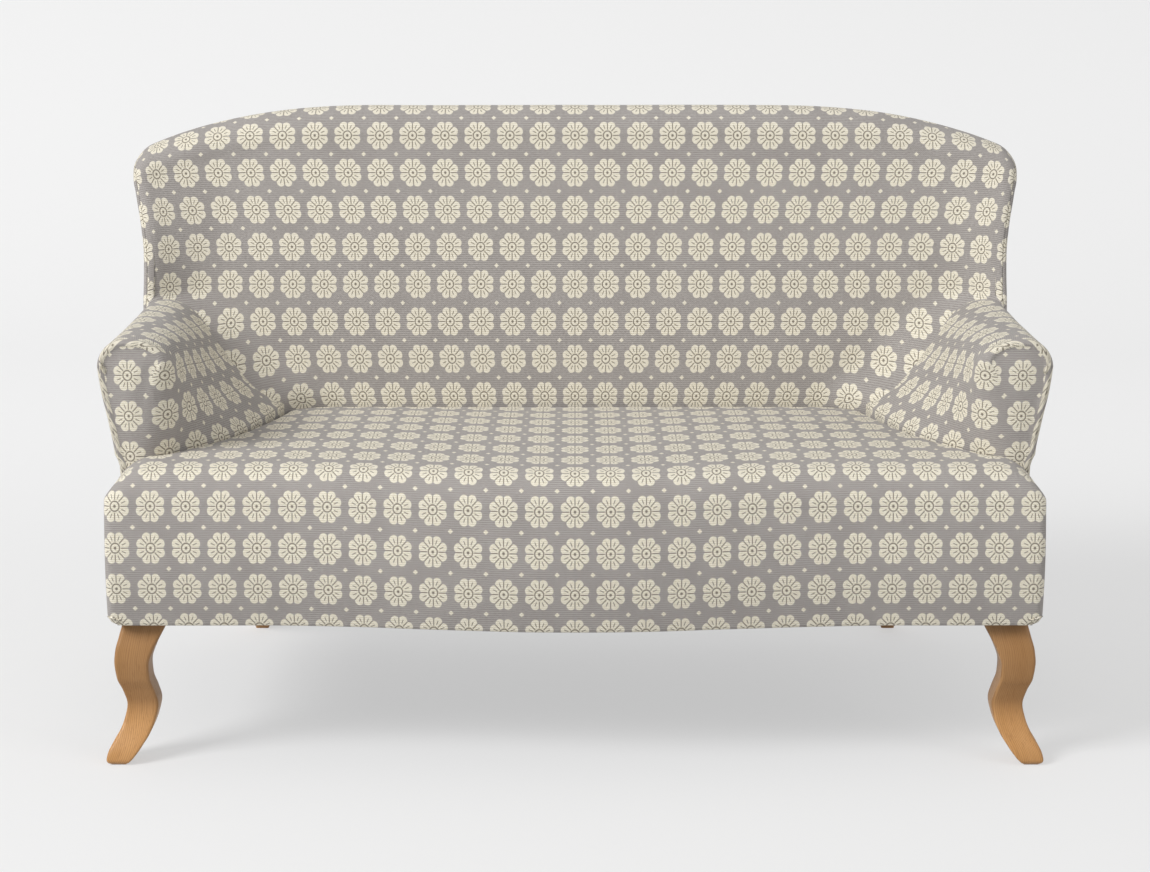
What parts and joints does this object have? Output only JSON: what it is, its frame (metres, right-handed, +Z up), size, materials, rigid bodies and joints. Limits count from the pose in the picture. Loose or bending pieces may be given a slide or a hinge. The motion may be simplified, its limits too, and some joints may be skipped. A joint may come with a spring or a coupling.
{
  "type": "cabriole sofa",
  "caption": "Two-seat cabriole sofa with a curved wrap-round back, rolled arms, tight bowed seat and splayed oak cabriole legs.",
  "frame": {"origin": "centre of the bounding box at floor level, under the feet", "axes": "+X along the sofa to its right arm as seen from the front, +Y from the front to the back, +Z up; the sofa faces -Y"},
  "size_m": [1.4794, 0.8292, 0.9307],
  "materials": {
    "cloth": "warm grey woven cotton with a small cream rosette print",
    "oak": "clear satin oak",
    "beech": "planed, unfinished",
    "hardboard": "hardboard",
    "foam": "cut upholstery foam",
    "webbing": "woven webbing and needled felt",
    "lining": "black non-woven lining",
    "steel": "plain steel"
  },
  "bodies": {
    "root": {"arm_board_left": "hardboard", "arm_board_right": "hardboard", "arm_cover_left": "cloth", "arm_cover_right": "cloth", "arm_foam_left": "foam", "arm_foam_right": "foam", "arm_front_post_left": "beech", "arm_front_post_right": "beech", "arm_rear_post_left": "beech", "arm_rear_post_right": "beech", "arm_tack_rail_left": "beech", "arm_tack_rail_right": "beech", "arm_top_rail_left": "beech", "arm_top_rail_right": "beech", "back_centre_post": "beech", "back_cover": "cloth", "back_foam": "foam", "back_leg_left": "oak", "back_leg_right": "oak", "back_post_left": "beech", "back_post_right": "beech", "back_rail": "beech", "back_strap_1": "webbing", "back_strap_2": "webbing", "back_strap_3": "webbing", "back_strap_4": "webbing", "back_strap_5": "webbing", "back_strap_6": "webbing", "back_tack_rail": "beech", "centre_rail": "beech", "corner_block_front_left": "beech", "corner_block_front_right": "beech", "crest_rail": "beech", "dust_cover": "lining", "front_leg_left": "oak", "front_leg_right": "oak", "front_rail": "beech", "leg_block_back_left": "beech", "leg_block_back_right": "beech", "leg_bolt_back_left": "steel", "leg_bolt_back_right": "steel", "leg_bolt_front_left": "steel", "leg_bolt_front_right": "steel", "rear_panel": "cloth", "seat_cover": "cloth", "seat_felt": "webbing", "seat_foam": "foam", "seat_spring_1": "steel", "seat_spring_2": "steel", "seat_spring_3": "steel", "seat_spring_4": "steel", "seat_spring_5": "steel", "seat_spring_6": "steel", "seat_spring_7": "steel", "side_panel_left": "cloth", "side_panel_right": "cloth", "side_rail_left": "beech", "side_rail_right": "beech"}
  },
  "joints": []
}
